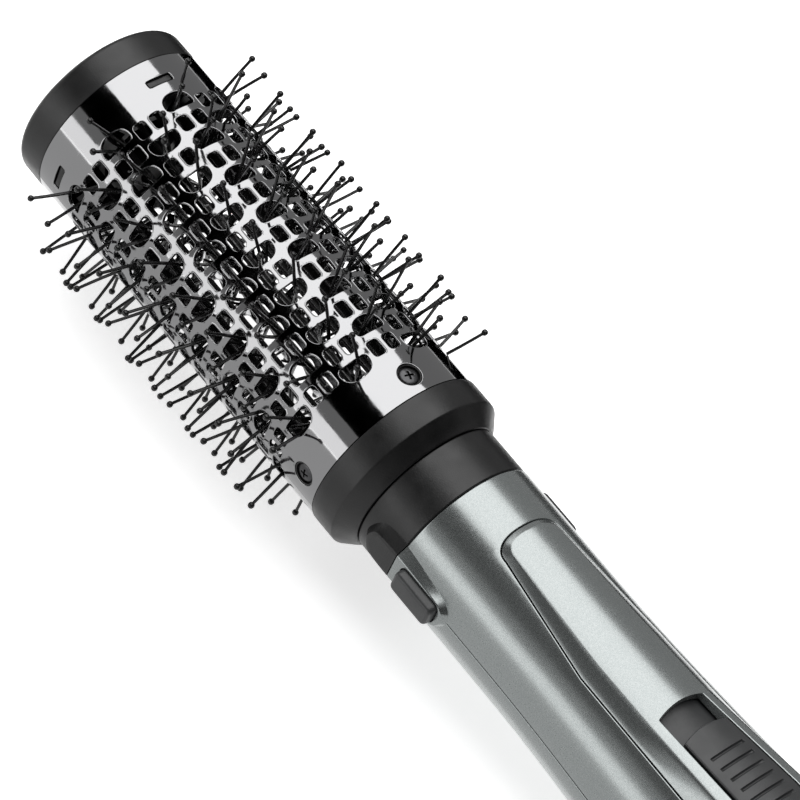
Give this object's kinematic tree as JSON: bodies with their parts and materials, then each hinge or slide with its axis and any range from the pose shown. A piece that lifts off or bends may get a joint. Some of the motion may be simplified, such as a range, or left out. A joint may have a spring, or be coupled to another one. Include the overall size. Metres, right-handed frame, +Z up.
{
  "type": "hot air brush",
  "caption": "Hot air styling brush with a perforated polished barrel, nylon pins, a metallic grey handle, side release buttons and a thumb slider.",
  "frame": {"origin": "bottom centre of the bounding box, the brush lying on a table on its lowest bristles and the edge of its tail, switch side up", "axes": "+Z up; +X from the brush tip towards the cord end (the tool axis dips 3.5 degrees towards the cord end); +Y to the right-hand release button"},
  "size_m": [0.343, 0.074, 0.0791],
  "materials": {
    "chrome": "dark mirror polish",
    "black_plastic": "fine matt moulded",
    "dark_plastic": "satin moulded",
    "nylon": "smooth satin",
    "metallic_grey": "satin metallic lacquer",
    "screw": "blackened",
    "steel": "satin",
    "mica": "matt sheet",
    "magnet": "matt ferrite",
    "copper": "enamelled winding",
    "board": "solder mask"
  },
  "bodies": {
    "handle": {"outlet_nozzle": "black_plastic", "upper_shell": "metallic_grey", "lower_shell": "metallic_grey", "switch_panel": "metallic_grey", "switch_body": "black_plastic", "circuit_board": "board", "button_spring_left": "steel", "button_spring_right": "steel", "heater_liner": "mica", "heater_frame": "mica", "heater_coil": "steel", "thermostat": "steel", "thermal_fuse": "steel", "fan_housing": "black_plastic", "motor_can": "steel", "motor_magnets": "magnet", "motor_end_bell": "black_plastic", "motor_mount": "black_plastic", "rear_bulkhead": "black_plastic", "gland_clip": "steel", "shell_screw_1": "screw", "shell_screw_2": "screw", "shell_screw_3": "screw", "shell_screw_4": "screw"},
    "brush_head": {"barrel": "chrome", "end_cap": "black_plastic", "bristle_strip_01": "nylon", "bristle_strip_02": "nylon", "bristle_strip_03": "nylon", "bristle_strip_04": "nylon", "bristle_strip_05": "nylon", "bristle_strip_06": "nylon", "bristle_strip_07": "nylon", "bristle_strip_08": "nylon", "bristle_strip_09": "nylon", "bristle_strip_10": "nylon", "bristle_strip_11": "nylon", "bristle_strip_12": "nylon", "bristle_strip_13": "nylon", "bristle_strip_14": "nylon", "bristle_strip_15": "nylon", "bristle_strip_16": "nylon", "strip_ring_front": "nylon", "strip_ring_rear": "nylon", "rear_collar": "black_plastic", "collar_screw_1": "screw", "collar_screw_2": "screw", "collar_screw_3": "screw", "collar_screw_4": "screw"},
    "left_button": {"release_button_left": "dark_plastic"},
    "right_button": {"release_button_right": "dark_plastic"},
    "slider": {"slide_switch": "dark_plastic"},
    "fan_rotor": {"fan": "black_plastic", "motor_shaft": "steel", "motor_armature": "copper"},
    "swivel_gland": {"cord_gland": "black_plastic"},
    "rear_filter": {"filter_cover": "dark_plastic", "filter_mesh": "steel"}
  },
  "joints": [
    {"name": "head_pull_off", "type": "slide", "parent": "handle", "child": "brush_head", "axis": [-0.9981, 0, 0.0612], "range_m": [0, 0.06]},
    {"name": "left_button_press", "type": "slide", "parent": "handle", "child": "left_button", "axis": [0, 1, 0], "range_m": [0, 0.0015], "stiffness_N_per_m": 700, "springref_m": -0.002},
    {"name": "right_button_press", "type": "slide", "parent": "handle", "child": "right_button", "axis": [0, -1, 0], "range_m": [0, 0.0015], "stiffness_N_per_m": 700, "springref_m": -0.002},
    {"name": "switch_slide", "type": "slide", "parent": "handle", "child": "slider", "axis": [-1, 0, 0.0071], "range_m": [0, 0.006]},
    {"name": "fan_spin", "type": "hinge", "parent": "handle", "child": "fan_rotor", "pos_m": [0.07436, 0, 0.02832], "axis": [0.9981, 0, -0.0612], "continuous": true},
    {"name": "gland_swivel", "type": "hinge", "parent": "handle", "child": "swivel_gland", "pos_m": [0.14224, 0, 0.02416], "axis": [0.9981, 0, -0.0612], "continuous": true},
    {"name": "filter_pull_off", "type": "slide", "parent": "handle", "child": "rear_filter", "axis": [0.9981, 0, -0.0612], "range_m": [0, 0.03]}
  ]
}
